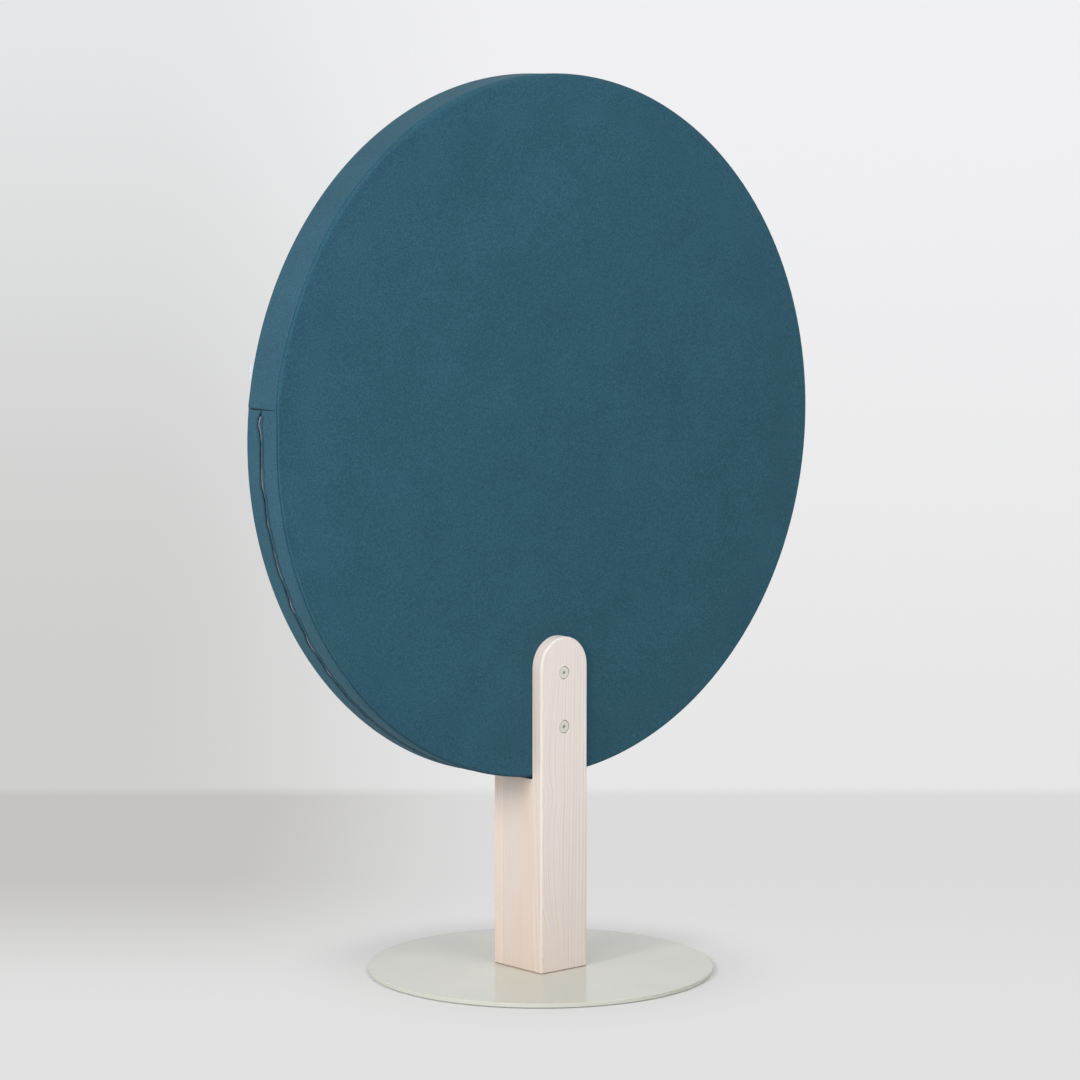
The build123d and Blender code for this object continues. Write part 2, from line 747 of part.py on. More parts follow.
# Blank label, a folded tape that stands out of the back seam
label_root = panel_corner_radius + label_seat_play + label_reach / 2
label_place = (
    corner_centre[0] + label_root * sin(radians(seam_angle)),
    -corner_centre[1] + label_root * cos(radians(seam_angle)),
)
with BuildPart() as seam_label:
    with BuildSketch(section(180 - label_angle)):
        with Locations(label_place):
            Rectangle(label_reach, label_thickness, rotation=90 - seam_angle)
    extrude(amount=label_height / 2, both=True)
save(seam_label, "seam_label")

# The slider stops where the tip of its pull would reach the post
tip_radius = hypot(pull_axis_radius + pull_thickness / 2, pull_length)
post_angle = degrees(asin((board_width / 2 + post_clearance) / tip_radius)) - 90
pull_lead = degrees(atan2(pull_length, pull_axis_radius))
print(f"slider travel {slider_angle - post_angle - pull_lead:.2f} degrees")
print(f"pull axis at {tuple(pull_axis_place)}")
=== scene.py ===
import json
from math import pi, radians

import bpy
import numpy as np
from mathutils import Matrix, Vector

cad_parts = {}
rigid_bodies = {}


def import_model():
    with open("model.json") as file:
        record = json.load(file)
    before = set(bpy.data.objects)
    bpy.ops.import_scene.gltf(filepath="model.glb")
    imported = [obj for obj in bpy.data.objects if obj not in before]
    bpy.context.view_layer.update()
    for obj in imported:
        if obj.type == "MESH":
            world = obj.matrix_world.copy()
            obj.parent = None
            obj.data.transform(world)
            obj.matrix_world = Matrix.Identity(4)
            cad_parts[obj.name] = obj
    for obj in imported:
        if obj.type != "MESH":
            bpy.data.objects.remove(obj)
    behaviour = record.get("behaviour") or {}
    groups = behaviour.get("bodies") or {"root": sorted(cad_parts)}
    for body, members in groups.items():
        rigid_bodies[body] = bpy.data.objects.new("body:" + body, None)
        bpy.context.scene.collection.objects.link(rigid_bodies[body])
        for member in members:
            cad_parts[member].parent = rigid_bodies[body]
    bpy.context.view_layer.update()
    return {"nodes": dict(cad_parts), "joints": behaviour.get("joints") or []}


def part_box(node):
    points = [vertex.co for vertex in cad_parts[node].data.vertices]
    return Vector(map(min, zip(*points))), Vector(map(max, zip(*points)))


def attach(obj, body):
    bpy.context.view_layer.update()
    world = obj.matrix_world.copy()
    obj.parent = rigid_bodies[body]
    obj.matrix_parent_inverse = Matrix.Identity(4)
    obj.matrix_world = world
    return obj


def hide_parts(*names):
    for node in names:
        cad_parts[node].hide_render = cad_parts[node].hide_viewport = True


# A round acoustic screen: an upholstered disc with a zipped cover, clamped in a forked ash post
# that stands on a coated steel plate. Metres, +Z up, the front looks towards -Y.

bpy.ops.object.select_all(action="SELECT")
bpy.ops.object.delete()
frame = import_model()
nodes = frame["nodes"]


# Camera: it stands at the front left, a little above the middle of the panel, and looks slightly
# down. Its place, aim and lens were fitted to the outlines in the photograph, which is square.
camera_place = Vector((-3.8376, -4.4196, 1.3306))
camera_aim = Vector((0.65084, 0.74977, -0.11938))
camera_turn = camera_aim.to_track_quat("-Z", "Y").to_euler()
bpy.ops.object.camera_add(location=camera_place, rotation=camera_turn)
camera = bpy.context.object
camera.data.sensor_width = 36
camera.data.lens = 137.2
bpy.context.scene.camera = camera
bpy.context.scene.view_settings.view_transform = "Standard"


# Studio floor: one wide pale sheet, with painted shade that darkens it to the left. For the eye it
# ends in a soft line where the wall begins, and near the screen it keeps the screen's soft shadow.
class Wire:
    """A value in a material. Sums on it add Math nodes."""

    def __init__(self, finish, socket):
        self.finish = finish
        self.socket = socket

    def math(self, operation, *values):
        inputs = dict(zip(("Value", "Value_001", "Value_002"), values))
        return self.finish.add("ShaderNodeMath", {"operation": operation}, inputs)

    def __add__(self, other):
        return self.math("ADD", self, other)

    def __sub__(self, other):
        return self.math("SUBTRACT", self, other)

    def __rsub__(self, other):
        return self.math("SUBTRACT", other, self)

    def __mul__(self, other):
        return self.math("MULTIPLY", self, other)

    def __truediv__(self, other):
        return self.math("DIVIDE", self, other)

    def __pow__(self, other):
        return self.math("POWER", self, other)

    __radd__ = __add__
    __rmul__ = __mul__


class Finish:
    """A procedural material, or the world, with the nodes that feed its shader."""

    def __init__(self, name, owner=None):
        self.material = owner or bpy.data.materials.new(name)
        self.material.use_nodes = True
        self.tree = self.material.node_tree
        self.shader = self.tree.nodes["Background" if owner else "Principled BSDF"]
        self.place = self.add("ShaderNodeTexCoord", {}, {}, "Generated" if owner else "Object")

    def feed(self, node, name, value):
        socket = next(s for s in node.inputs if name in (s.identifier, s.name))
        if isinstance(value, Wire):
            self.tree.links.new(value.socket, socket)
        else:
            socket.default_value = value

    def add(self, kind, settings, inputs, output=None):
        node = self.tree.nodes.new(kind)
        for name, value in settings.items():
            setattr(node, name, value)
        for name, value in inputs.items():
            self.feed(node, name, value)
        sockets = [s for s in node.outputs if output in (None, s.identifier, s.name)]
        return Wire(self, sockets[0])

    def stretched(self, along_x, along_y, along_z, place=None):
        inputs = {"Vector": place or self.place, "Scale": (along_x, along_y, along_z)}
        return self.add("ShaderNodeMapping", {}, inputs)

    def noise(self, scale, detail=2.0, roughness=0.5, place=None):
        inputs = {"Vector": place or self.place, "Scale": scale, "Detail": detail}
        return self.add("ShaderNodeTexNoise", {}, {**inputs, "Roughness": roughness})

    def between(self, value, low, high):
        inputs = {"Value": value, "From Min": low, "From Max": high}
        return self.add("ShaderNodeMapRange", {"interpolation_type": "SMOOTHSTEP"}, inputs)

    def blend(self, share, first, second, how="MIX"):
        inputs = {"Factor_Float": share, "A_Color": first, "B_Color": second}
        settings = {"data_type": "RGBA", "blend_type": how}
        return self.add("ShaderNodeMix", settings, inputs, "Result_Color")

    def relief(self, height, depth, strength=1.0):
        inputs = {"Height": height, "Distance": depth, "Strength": strength}
        self.feed(self.shader, "Normal", self.add("ShaderNodeBump", {}, inputs))

    def reach_along(self, direction):
        """How far a place lies along a direction."""
        inputs = {"Vector": self.place, "Vector_001": direction}
        return self.add("ShaderNodeVectorMath", {"operation": "DOT_PRODUCT"}, inputs, "Value")

    def seen(self):
        """1 for the eye, and for what is seen in a mirror or through glass, 0 for light."""
        sight = self.add("ShaderNodeLightPath", {}, {}, "Is Camera Ray")
        for ray in ("Is Glossy Ray", "Is Transmission Ray"):
            sight = sight.math("MAXIMUM", sight, self.add("ShaderNodeLightPath", {}, {}, ray))
        return sight

    def mix(self, share, first, second):
        """Two shaders, mixed, as the surface."""
        inputs = {"Fac": share, "Shader": first, "Shader_001": second}
        return self.add("ShaderNodeMixShader", {}, inputs)

    def coat(self, **values):
        for name, value in values.items():
            self.feed(self.shader, name.replace("_", " "), value)
        return self.material


def paint(red, green, blue):
    """A colour on the usual scale of 0 to 255, as the linear one that a shader takes."""
    shares = np.array([red, green, blue]) / 255
    linear = np.where(shares < 0.04045, shares / 12.92, ((shares + 0.055) / 1.055) ** 2.4)
    return (*linear.tolist(), 1.0)


floor_width = 120.0
wall_place = 1.40
wall_fade = (wall_place - 0.04, wall_place + 0.10)
shadow_fade = (0.17, 0.40)
far_fade = (1.9, 3.2)
away = Vector((camera_aim.x, camera_aim.y, 0)).normalized()
rightward = Vector((away.y, -away.x, 0))
floor_finish = Finish("studio_floor")
floor_depth = floor_finish.reach_along(away)
floor_reach = floor_finish.add(
    "ShaderNodeVectorMath", {"operation": "LENGTH"}, {"Vector": floor_finish.place}, "Value")
# Painted shade: the far floor's tone is darker to the left and towards the back.
floor_side = floor_finish.between(floor_finish.reach_along(rightward), -0.55, -0.05)
floor_back = floor_finish.blend(floor_side, paint(196, 195, 193), paint(219, 219, 219))
floor_tone = floor_finish.blend(
    floor_finish.between(floor_depth, -0.25, 0.75), paint(225, 225, 225), floor_back)
floor_light = floor_finish.add("ShaderNodeEmission", {}, {"Color": floor_tone})
floor_past = floor_finish.add("ShaderNodeBsdfTransparent", {}, {})
floor_paint = floor_finish.blend(
    floor_finish.noise(0.6), paint(220, 220, 219), paint(224, 224, 223))
floor_finish.coat(Base_Color=floor_paint, Roughness=0.9)
floor_fade = floor_finish.between(floor_reach, *shadow_fade) * floor_finish.seen()
floor_end = floor_depth.math(
    "MAXIMUM", floor_finish.between(floor_depth, *wall_fade),
    floor_finish.between(floor_reach, *far_fade)) * floor_finish.seen()
floor_shaded = Wire(floor_finish, floor_finish.shader.outputs[0])
floor_near = floor_finish.mix(floor_fade, floor_shaded, floor_light)
floor_seen = floor_finish.mix(floor_end, floor_near, floor_past)
floor_finish.feed(floor_finish.tree.nodes["Material Output"], "Surface", floor_seen)
bpy.ops.mesh.primitive_plane_add(size=floor_width)
studio_floor = bpy.context.object
studio_floor.name = "studio_floor"
studio_floor.data.materials.append(floor_finish.material)


# Light: the even light of a white room and three wide soft lamps. The front and left lamps give
# the two faint shadows on the plate. For the eye the room is a pale wall, with painted shade at
# its lower left.
room = bpy.data.worlds.new("white_room")
bpy.context.scene.world = room
room_finish = Finish("white_room", room)
room_up = room_finish.reach_along((0, 0, 1))
# Painted shade: the wall is darker low down on the left.
room_left = room_finish.blend(
    room_finish.between(room_up, -0.15, 0.03), paint(207, 207, 206), paint(230, 231, 232))
room_right = room_finish.blend(
    room_finish.between(room_up, -0.20, 0.0), paint(230, 230, 230), paint(240, 240, 242))
room_side = room_finish.between(room_finish.reach_along(rightward), -0.10, 0.0)
room_tone = room_finish.blend(room_side, room_left, room_right)
room_wall = room_finish.add("ShaderNodeBackground", {}, {"Color": room_tone})
room_finish.coat(Color=(1.0, 1.0, 1.0, 1.0), Strength=0.45)
room_light = Wire(room_finish, room_finish.shader.outputs[0])
room_seen = room_finish.mix(room_finish.seen(), room_light, room_wall)
room_finish.feed(room_finish.tree.nodes["World Output"], "Surface", room_seen)

lamp_aim = Vector((0.0, 0.0, 0.6))
lamps = (
    ("front_lamp", Vector((0.13, -2.2, 2.9)), 1.0, 29.0),
    ("left_lamp", Vector((-3.8, -0.62, 2.3)), 1.0, 75.0),
    ("side_lamp", Vector((-3.2, -2.2, 1.8)), 1.5, 45.0),
)
for lamp_name, lamp_place, lamp_size, lamp_power in lamps:
    lamp_turn = (lamp_aim - lamp_place).to_track_quat("-Z", "Y").to_euler()
    bpy.ops.object.light_add(type="AREA", location=lamp_place, rotation=lamp_turn)
    lamp = bpy.context.object
    lamp.name = lamp_name
    lamp.data.size = lamp_size
    lamp.data.energy = lamp_power


# Floor felt: a disc of dark grey needle felt, glued under the plate so that it doesn't mark the
# floor. It stands back from the edge and shows as a thin dark line.
felt_finish = Finish("needle_felt")
felt_tufts = felt_finish.noise(1400.0, 4.0)
felt_tone = felt_finish.blend(felt_tufts, paint(118, 114, 104), paint(146, 141, 130))
felt_finish.relief(felt_tufts, 0.0004)
felt = felt_finish.coat(Base_Color=felt_tone, Roughness=0.95)
nodes["floor_felt"].material_slots[0].material = felt


# Base plate: a round steel plate, powder coated in a pale grey green with a satin sheen. The coat
# is very slightly uneven, as such coats are, and mirrors the post faintly.
def powder_coat(name, colour, roughness, speck):
    """A satin powder coat with a fine uneven surface."""
    finish = Finish(name)
    orange_peel = finish.noise(420.0, 2.0)
    cloud = finish.noise(9.0, 3.0)
    finish.relief(orange_peel, 0.00001, 0.4)
    return finish.coat(
        Base_Color=finish.blend(finish.between(cloud, 0.3, 0.7), colour, speck),
        Roughness=cloud * 0.05 + roughness)


nodes["base_plate"].material_slots[0].material = powder_coat(
    "plate_coat", paint(204, 205, 194), 0.10, paint(200, 201, 190))


# Bolts and sleeve nuts: flat furniture heads with a hexagon socket, coated like the plate. They
# sit in shallow bores in the fork and pull its two boards onto the tubes in the panel.
for bolt_node in ("clamp_bolts", "sleeve_nuts"):
    nodes[bolt_node].material_slots[0].material = powder_coat(
        bolt_node + "_coat", paint(221, 219, 208), 0.32, paint(213, 211, 200))


# Post: boards of ash, planed, glued and rubbed with a white pigmented oil. The two outer boards
# are slash cut, with wide rings; the three core boards between them show narrow upright rings.
post_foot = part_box("cheek_front")[0].z
# Painted shadow: a thin reddish-brown band just above the boards' foot, where the post meets the
# plate.
foot_shade_band = (post_foot + 0.0006, post_foot + 0.0022)
foot_shade_band_tone = paint(176, 138, 120)
# Painted shade: the post's lowest 0.3 m is tinted a little darker and warmer.
foot_shade_tone = (0.99, 0.960, 0.935, 1.0)
foot_shade_height = 0.30
blush_tone = (0.995, 0.980, 0.935, 1.0)
ring_wander = 0.012
swerve_side = (-0.046, 0.018)


def pigmented_ash(
        name, heart, lean, ring, light, dark, side_shade_tone=(1.0, 1.0, 1.0, 1.0), swerves=()):
    """Ash whose growth rings run round a heart line that lies outside the board and leans a little.
    Swerves are (height, half length, shift): places where the rings swing out of the left edge."""
    finish = Finish(name)
    apart = finish.add("ShaderNodeSeparateXYZ", {}, {"Vector": finish.place})
    across, deep, high = (Wire(finish, socket) for socket in apart.socket.node.outputs)
    bend = finish.noise(3.0, 2.0, 0.5, finish.stretched(2.0, 2.0, 0.8))
    facing = finish.add("ShaderNodeTexCoord", {}, {}, "Normal")
    on_side = finish.add("ShaderNodeSeparateXYZ", {}, {"Vector": facing}, "X")
    on_side = on_side.math("ABSOLUTE", on_side)
    swing = 0.0
    for swerve_height, swerve_length, swerve_shift in swerves:
        near = ((high - swerve_height) / swerve_length) ** 2.0
        swing = near.math("EXPONENT", 0.0 - near) * swerve_shift + swing
    swing = (1.0 - finish.between(across, *swerve_side)) * (1.0 - on_side) * swing
    grain = finish.add("ShaderNodeCombineXYZ", {}, {"X": across - swing, "Y": deep, "Z": high})
    from_heart_x = across - heart[0] - high * lean[0] + (bend - 0.5) * ring_wander - swing
    from_heart_y = deep - heart[1] - high * lean[1]
    distance = (from_heart_x * from_heart_x + from_heart_y * from_heart_y) ** 0.5
    rings = distance / ring
    uneven, ring_strength = (
        finish.add(
            "ShaderNodeTexNoise", {"noise_dimensions": "1D"}, {"W": rings * pace, "Scale": 1.0})
        for pace in (0.4, 0.9))
    year = rings + uneven * 1.4
    year = year.math("FRACT", year)
    pore_band = 1.0 - finish.between(year, 0.0, 0.45)
    ring_edge = finish.between(year, 0.85, 1.0)
    pores = finish.noise(1.0, 2.0, 0.6, finish.stretched(1300.0, 1300.0, 22.0, grain))
    fibres = finish.noise(1.0, 3.0, 0.6, finish.stretched(420.0, 420.0, 4.0, grain))
    cloud = finish.noise(4.0, 2.0, 0.5, finish.stretched(3.0, 3.0, 0.6))
    blush = finish.noise(1.0, 2.0, 0.6, finish.stretched(150.0, 150.0, 5.0, grain))
    open_pores = finish.between(pores, 0.48, 0.72) * (pore_band * 0.8 + 0.2)
    lines = (pore_band * 0.36 + ring_edge * 0.16) * (ring_strength * 1.5 + 0.1)
    tone = lines + open_pores * 0.42 + (fibres - 0.5) * 0.46 + (cloud - 0.5) * 0.5
    finish.relief(0.0 - open_pores * 0.7 - pore_band * 0.3 + fibres * 0.2, 0.00012, 0.6)
    oiled = finish.blend(finish.between(tone, -0.15, 1.15), light, dark)
    # Painted shade: a darker tint on the faces that look to the sides and on the post's lowest 0.3
    # m.
    for share, tint in (
            (on_side, side_shade_tone),
            (1.0 - finish.between(high, 0.0, foot_shade_height), foot_shade_tone),
            (finish.between(blush, 0.30, 0.70), blush_tone)):
        oiled = finish.blend(share, oiled, tint, "MULTIPLY")
    return finish.coat(
        # The reddish-brown band at the foot is painted shadow.
        Base_Color=finish.blend(1.0 - finish.between(high, *foot_shade_band), oiled, foot_shade_band_tone),
        Roughness=tone * 0.10 + 0.50,
        Specular_IOR_Level=0.4)


# Each board's tint after its two paints is the painted shade of its side faces.
front_swerves = ((-0.02, 0.10, 0.052), (0.262, 0.026, 0.010), (0.48, 0.09, 0.022))
boards = (
    ("cheek_front", (0.105, 0.030), (0.03, -0.03), 0.0050,
     paint(237, 228, 225), paint(208, 190, 180), (0.880, 0.845, 0.795, 1.0), front_swerves),
    ("cheek_back", (-0.110, -0.030), (-0.04, 0.03), 0.0047,
     paint(231, 222, 217), paint(208, 192, 180), (0.985, 0.925, 0.885, 1.0)),
    ("core_board_front", (0.020, -0.160), (0.02, 0.03), 0.0034,
     paint(225, 215, 209), paint(204, 186, 174), (0.98, 0.92, 0.87, 1.0)),
    ("core_board_middle", (0.080, 0.170), (0.02, -0.02), 0.0028,
     paint(225, 217, 213), paint(204, 187, 178), (0.975, 0.92, 0.885, 1.0)),
    ("core_board_back", (0.040, -0.130), (-0.02, 0.03), 0.0038,
     paint(225, 218, 215), paint(205, 189, 180), (0.97, 0.92, 0.89, 1.0)),
)
for board, *wood in boards:
    nodes[board].material_slots[0].material = pigmented_ash(board + "_ash", *wood)


# Face cloths: two discs of felted wool, stretched over the wadding and sewn to the border on the
# rounded edge. Each is a little crowned, is held flat under the fork and rolls into its seam.
panel_low, panel_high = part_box("cover_front")
rim_low, rim_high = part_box("border_lower_front")
panel_radius = (rim_high.x - rim_low.x) / 2
panel_height = (panel_low.z + panel_high.z) / 2
half_thickness = -panel_low.y
corner_radius = 0.006
rim_half = half_thickness - corner_radius
face_start = rim_half + corner_radius * pi / 2
fork_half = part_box("cheek_front")[1].x
fork_round_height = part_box("cheek_front")[1].z - fork_half

# How far the seams lie over the rounded edge, as (degrees above nine o'clock, degrees over the
# edge): 0 on the face and 90 on the rim
front_seam_turns = (
    (-180, 45), (-135, 48), (-90, 50), (-75, 52), (-65, 46), (-55, 40), (-48, 34), (-40, 27),
    (-30, 29), (-22, 24), (-14, 24), (-5, 20), (2, 19), (4.4, 28), (6.6, 51), (9, 61), (12, 62),
    (15, 53), (20, 46), (26, 50), (35, 58), (42, 65), (50, 58), (56, 63), (61, 74), (66, 84),
    (76, 84), (90, 74), (135, 55), (180, 45))
back_seam_turns = (
    (-180, 48), (-120, 40), (-60, 52), (-20, 44), (12, 46), (40, 50), (80, 38), (130, 47),
    (180, 48))

# How deeply the seams are drawn in, as a share of their usual depth
seam_draws = (
    (-180, 1), (-72, 1.1), (-50, 0.85), (-8, 0.85), (8, 1), (22, 1.1), (36, 1.5), (52, 1.7),
    (70, 1.8), (100, 1.2), (180, 1))


def ease(share):
    """A share from 0 to 1 with a soft start and end."""
    share = np.clip(share, 0, 1)
    return share * share * (3 - 2 * share)


def along(points, at):
    """A soft line through (place, value) points, read at the places asked for."""
    places = np.array([p[0] for p in points])
    values = np.array([p[1] for p in points])
    after = np.clip(np.searchsorted(places, at, side="right"), 1, len(places) - 1)
    share = ease((at - places[after - 1]) / (places[after] - places[after - 1]))
    return values[after - 1] + (values[after] - values[after - 1]) * share


def over_nine(angle):
    """Degrees above nine o'clock, -180 to 180, of an angle counted from the right and up."""
    return (360 - np.degrees(angle)) % 360 - 180


def seam_reach(turns, angle):
    """How far a seam lies from the rim's middle, over the cloth."""
    return rim_half + corner_radius * (pi / 2 - np.radians(along(turns, over_nine(angle))))


def seam_draw(angle):
    """How deeply a seam is drawn in."""
    return along(seam_draws, over_nine(angle))


def drawn(angle, height):
    """A height beside a seam, lower where the seam is drawn in deeper."""
    return np.where(height < 0, height * seam_draw(angle), height)


def round_edge(reach, height):
    """Radius and depth of a point of the cover, reach metres from the rim's middle."""
    turn = np.clip((reach - rim_half) / corner_radius, 0, pi / 2)
    past = np.maximum(reach - face_start, 0)
    radius = panel_radius - corner_radius + (corner_radius + height) * np.cos(turn) - past
    depth = np.minimum(reach, rim_half) + (corner_radius + height) * np.sin(turn)
    return radius, depth


def points_of(piece):
    """The piece's points, as columns x, y and z."""
    spots = np.empty(len(piece.data.vertices) * 3)
    piece.data.vertices.foreach_get("co", spots)
    return spots.reshape(-1, 3).T


def put_round(piece, angle, radius, depth):
    """Puts the piece's points at new places round the panel's axis."""
    spots = [radius * np.cos(angle), depth, panel_height + radius * np.sin(angle)]
    piece.data.vertices.foreach_set("co", np.column_stack(spots).ravel())
    piece.data.update()


def lay(piece, angle, reach, height):
    """Lays the piece's points on the cover, reach metres from the rim's middle, less than 0 in
    front, and a height above the plain cover."""
    radius, depth = round_edge(np.abs(reach), height)
    put_round(piece, angle, radius, np.where(reach < 0, -depth, depth))


def pick(piece):
    """Makes the piece the only one that is selected, and the active one."""
    bpy.ops.object.select_all(action="DESELECT")
    piece.select_set(True)
    bpy.context.view_layer.objects.active = piece


def apply_all(piece):
    """Applies the piece's modifiers and shades it smooth."""
    pick(piece)
    for modifier in list(piece.modifiers):
        bpy.ops.object.modifier_apply(modifier=modifier.name)
    bpy.ops.object.shade_smooth()


def thicken(sheet, thickness, offset=-1):
    """Gives a sheet its thickness, inwards unless the offset says otherwise."""
    wall = sheet.modifiers.new("wall", "SOLIDIFY")
    wall.thickness = thickness
    wall.offset = offset
    apply_all(sheet)


def on_all_faces(piece, operator, **settings):
    """Runs one mesh operator on all faces of the piece."""
    pick(piece)
    bpy.ops.object.mode_set(mode="EDIT")
    bpy.ops.mesh.select_all(action="SELECT")
    operator(**settings)
    bpy.ops.object.mode_set(mode="OBJECT")


def face_outward(piece):
    """Turns all faces of the piece to point outwards."""
    on_all_faces(piece, bpy.ops.mesh.normals_make_consistent, inside=False)


def flip(piece):
    """Turns all faces of the piece round."""
    on_all_faces(piece, bpy.ops.mesh.flip_normals)


def shade_grooves(cloth, height):
    """Notes where painted shade darkens a cloth in its grooves: fully a millimetre below its free
    surface.
    """
    value = cloth.data.attributes.new("groove_shade", "FLOAT", "POINT")
    value.data.foreach_set("value", np.clip(-height * 1000, 0, 1))


def felted_wool(name, light, dark, sheen):
    """Felted wool cloth: matted fibres in near shades, with a soft bloom on its surface. In the
    seams' grooves and under the folds it is darker, a painted shade; each cloth carries that as a
    value on its points."""
    finish = Finish(name)
    # Painted shade in the seams' grooves and under the folds: the wool there blends towards a
    # darker copy of itself.
    groove_shade = finish.add("ShaderNodeAttribute", {"attribute_name": "groove_shade"}, {}, "Fac")
    groove_shade_share, groove_shade_dim = 0.75, 0.42
    groove_shade_wool = [groove_shade_dim * value for value in dark[:3]] + [1.0]
    clumps = finish.noise(430.0, 3.0, 0.62)
    fibres = finish.noise(1500.0, 3.0, 0.7)
    slow = finish.noise(14.0, 2.0)
    mottle = clumps * 0.62 + fibres * 0.30 + slow * 0.14
    free_wool = finish.blend(finish.between(mottle, 0.41, 0.67), dark, light)
    finish.relief(clumps * 0.6 + fibres * 0.5, 0.0005, 0.55)
    return finish.coat(
        Base_Color=finish.blend(groove_shade * groove_shade_share, free_wool, groove_shade_wool),
        Roughness=0.92,
        Specular_IOR_Level=0.25,
        Sheen_Weight=sheen,
        Sheen_Roughness=0.45,
        Sheen_Tint=paint(150, 185, 196))


face_thickness = 0.0011
face_around = 576
face_ring_steps = [0.0001, 0.0002, 0.0003, 0.0004] + [0.0006] * 4 + [0.001] * 3 + [0.002] * 3
face_ring_steps += [0.005] * 3 + [0.0095] * 25 + [0.02] * 10
# The face's height beside its seam, as (millimetres from the cut edge, millimetres)
face_roll = (
    (0, -2.3), (0.1, -1.25), (0.25, -0.8), (0.5, -0.3), (0.8, 0.05), (1.2, 0.35), (1.9, 0.45),
    (3.0, 0.25), (5.5, 0.05), (10.0, 0.0))
face_crown = 0.0022
crown_start, crown_width = 0.004, 0.08
crown_unevenness = 0.00018
fork_press = 0.00095
fork_margin, fork_fade = 0.003, 0.030
wander_width = 0.04
gather_depth, gather_start, gather_width = 0.00010, 0.002, 0.012
seam_slot_half = 0.00035
face_wool = felted_wool("face_wool", paint(48, 92, 109), paint(34, 75, 92), 0.12)


def face_cloth(name, node, side, seam_turns):
    """One face cloth, cut as a flat disc and laid over the panel, side -1 in front, 1 behind."""
    cut_seam = rim_half + corner_radius * pi / 4 + seam_slot_half
    cut_radius = face_start + panel_radius - corner_radius - cut_seam
    bpy.ops.mesh.primitive_circle_add(vertices=face_around, radius=cut_radius, fill_type="NGON")
    cloth = bpy.context.object
    cloth.name = name
    bpy.ops.object.mode_set(mode="EDIT")
    bpy.ops.mesh.select_all(action="SELECT")
    for step in face_ring_steps:
        bpy.ops.mesh.inset(thickness=step)
    bpy.ops.mesh.poke()
    bpy.ops.object.mode_set(mode="OBJECT")
    x, y, _ = points_of(cloth)
    angle = np.arctan2(y, x)
    from_edge = cut_radius - np.hypot(x, y)
    wander = seam_reach(seam_turns, angle) + seam_slot_half - cut_seam
    reach = cut_seam + from_edge + wander * (1 - ease(from_edge / wander_width))
    height = drawn(angle, along(face_roll, np.clip(from_edge * 1000, 0, 10)) / 1000)
    radius, _ = round_edge(reach, height)
    x, z = radius * np.cos(angle), panel_height + radius * np.sin(angle)
    beside_fork = np.hypot(x, np.maximum(z - fork_round_height, 0)) - fork_half
    free = ease((beside_fork + fork_margin) / fork_fade)
    slow = np.sin(9 * x + 1.3) * np.sin(7 * z + 0.4) + 0.6 * np.sin(17 * x + 5 * z)
    crown = face_crown + slow * crown_unevenness
    crown = crown * ease((from_edge - crown_start) / crown_width) * free - fork_press * (1 - free)
    gathers = gather_depth * np.sin(angle * 190 + 2 * np.sin(angle * 23))
    gathers *= np.exp(-from_edge / gather_width) * ease(from_edge / gather_start)
    lay(cloth, angle, side * reach, height + crown + gathers)
    # The seam's roll sets where painted shade darkens the cloth.
    shade_grooves(cloth, height)
    if side < 0:
        flip(cloth)
    thicken(cloth, face_thickness)
    cloth.data.materials.append(face_wool)
    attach(cloth, "screen")
    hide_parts(node)


face_cloth("face_cloth_front", "cover_front", -1, front_seam_turns)
face_cloth("face_cloth_back", "cover_back", 1, back_seam_turns)


# Border: a strip of the same wool round the rim. Its upper length is one piece, folded over at
# both ends; the lower length is two strips whose folded edges meet over the zip and wave a little.
zip_end = np.arcsin((rim_high.z - panel_height) / panel_radius)
# How far the zip waves to the back, as (degrees above nine o'clock, millimetres)
zip_waves = (
    (-180, 0), (-140, 0.3), (-110, -0.3), (-90, 0.3), (-75, -0.5), (-66, 0), (-60, -0.5),
    (-55, -1.0), (-52.4, -1.6), (-50.3, 0.6), (-48.3, -2.2), (-45.3, 0.8), (-42, -2.4),
    (-39.6, 1.6), (-36.6, -2.4), (-33.5, 3.2), (-30.3, -2.2), (-28.4, -1.8), (-26.3, 2.2),
    (-23.2, -2.5), (-20, 1.2), (-16.9, 0.2), (-14.7, -2), (-12.0, 0.6), (-8.5, -2.9), (-5.6, 1.7),
    (-2, -0.2), (0.5, -0.8), (2, 1), (3.9, 6.6), (6.2, 0.8), (180, 0))
# How far the coils lead to the front, and over which degrees that sets in
coil_lead, coil_lead_start, coil_lead_width = 0.0009, -100, 20
# The front fold laps over the coils, most where the zip waves forward (waves in millimetres)
least_lap, wave_lap, wave_start, wave_width = 0.0004, 0.0022, -2.0, 4.0
# The back fold stays clear of the coils where the zip waves forward and laps over them elsewhere
back_clearance, back_closing, closing_start, closing_width = 0.0009, 0.0014, -2.6, 2.0
fold_rim, fold_ease_front, fold_ease_back = 0.0028, 0.0016, 0.0066
squeeze, squeeze_length = 0.0012, 0.016
# The upper strip's folded ends stand up least beside the seams, by reach over the rim
flap_least, flap_back_drop = 0.10, 0.85
flap_front_start, flap_front_width = -0.026, 0.012
flap_back_start, flap_back_width = 0.017, 0.009


def zip_line(angle):
    """How far the zip's middle lies behind the rim's middle line."""
    return along(zip_waves, over_nine(angle)) / 1000


def to_zip_end(angle):
    """How far a place on the rim lies before the nearer end of the zip."""
    from_six = np.abs((angle + pi / 2 + pi) % (2 * pi) - pi)
    return (zip_end - from_six + pi / 2) * panel_radius


def zip_squeeze(angle):
    """How far the folded edges close in on the zip near its two ends."""
    return squeeze * (1 - ease(to_zip_end(angle) / squeeze_length))


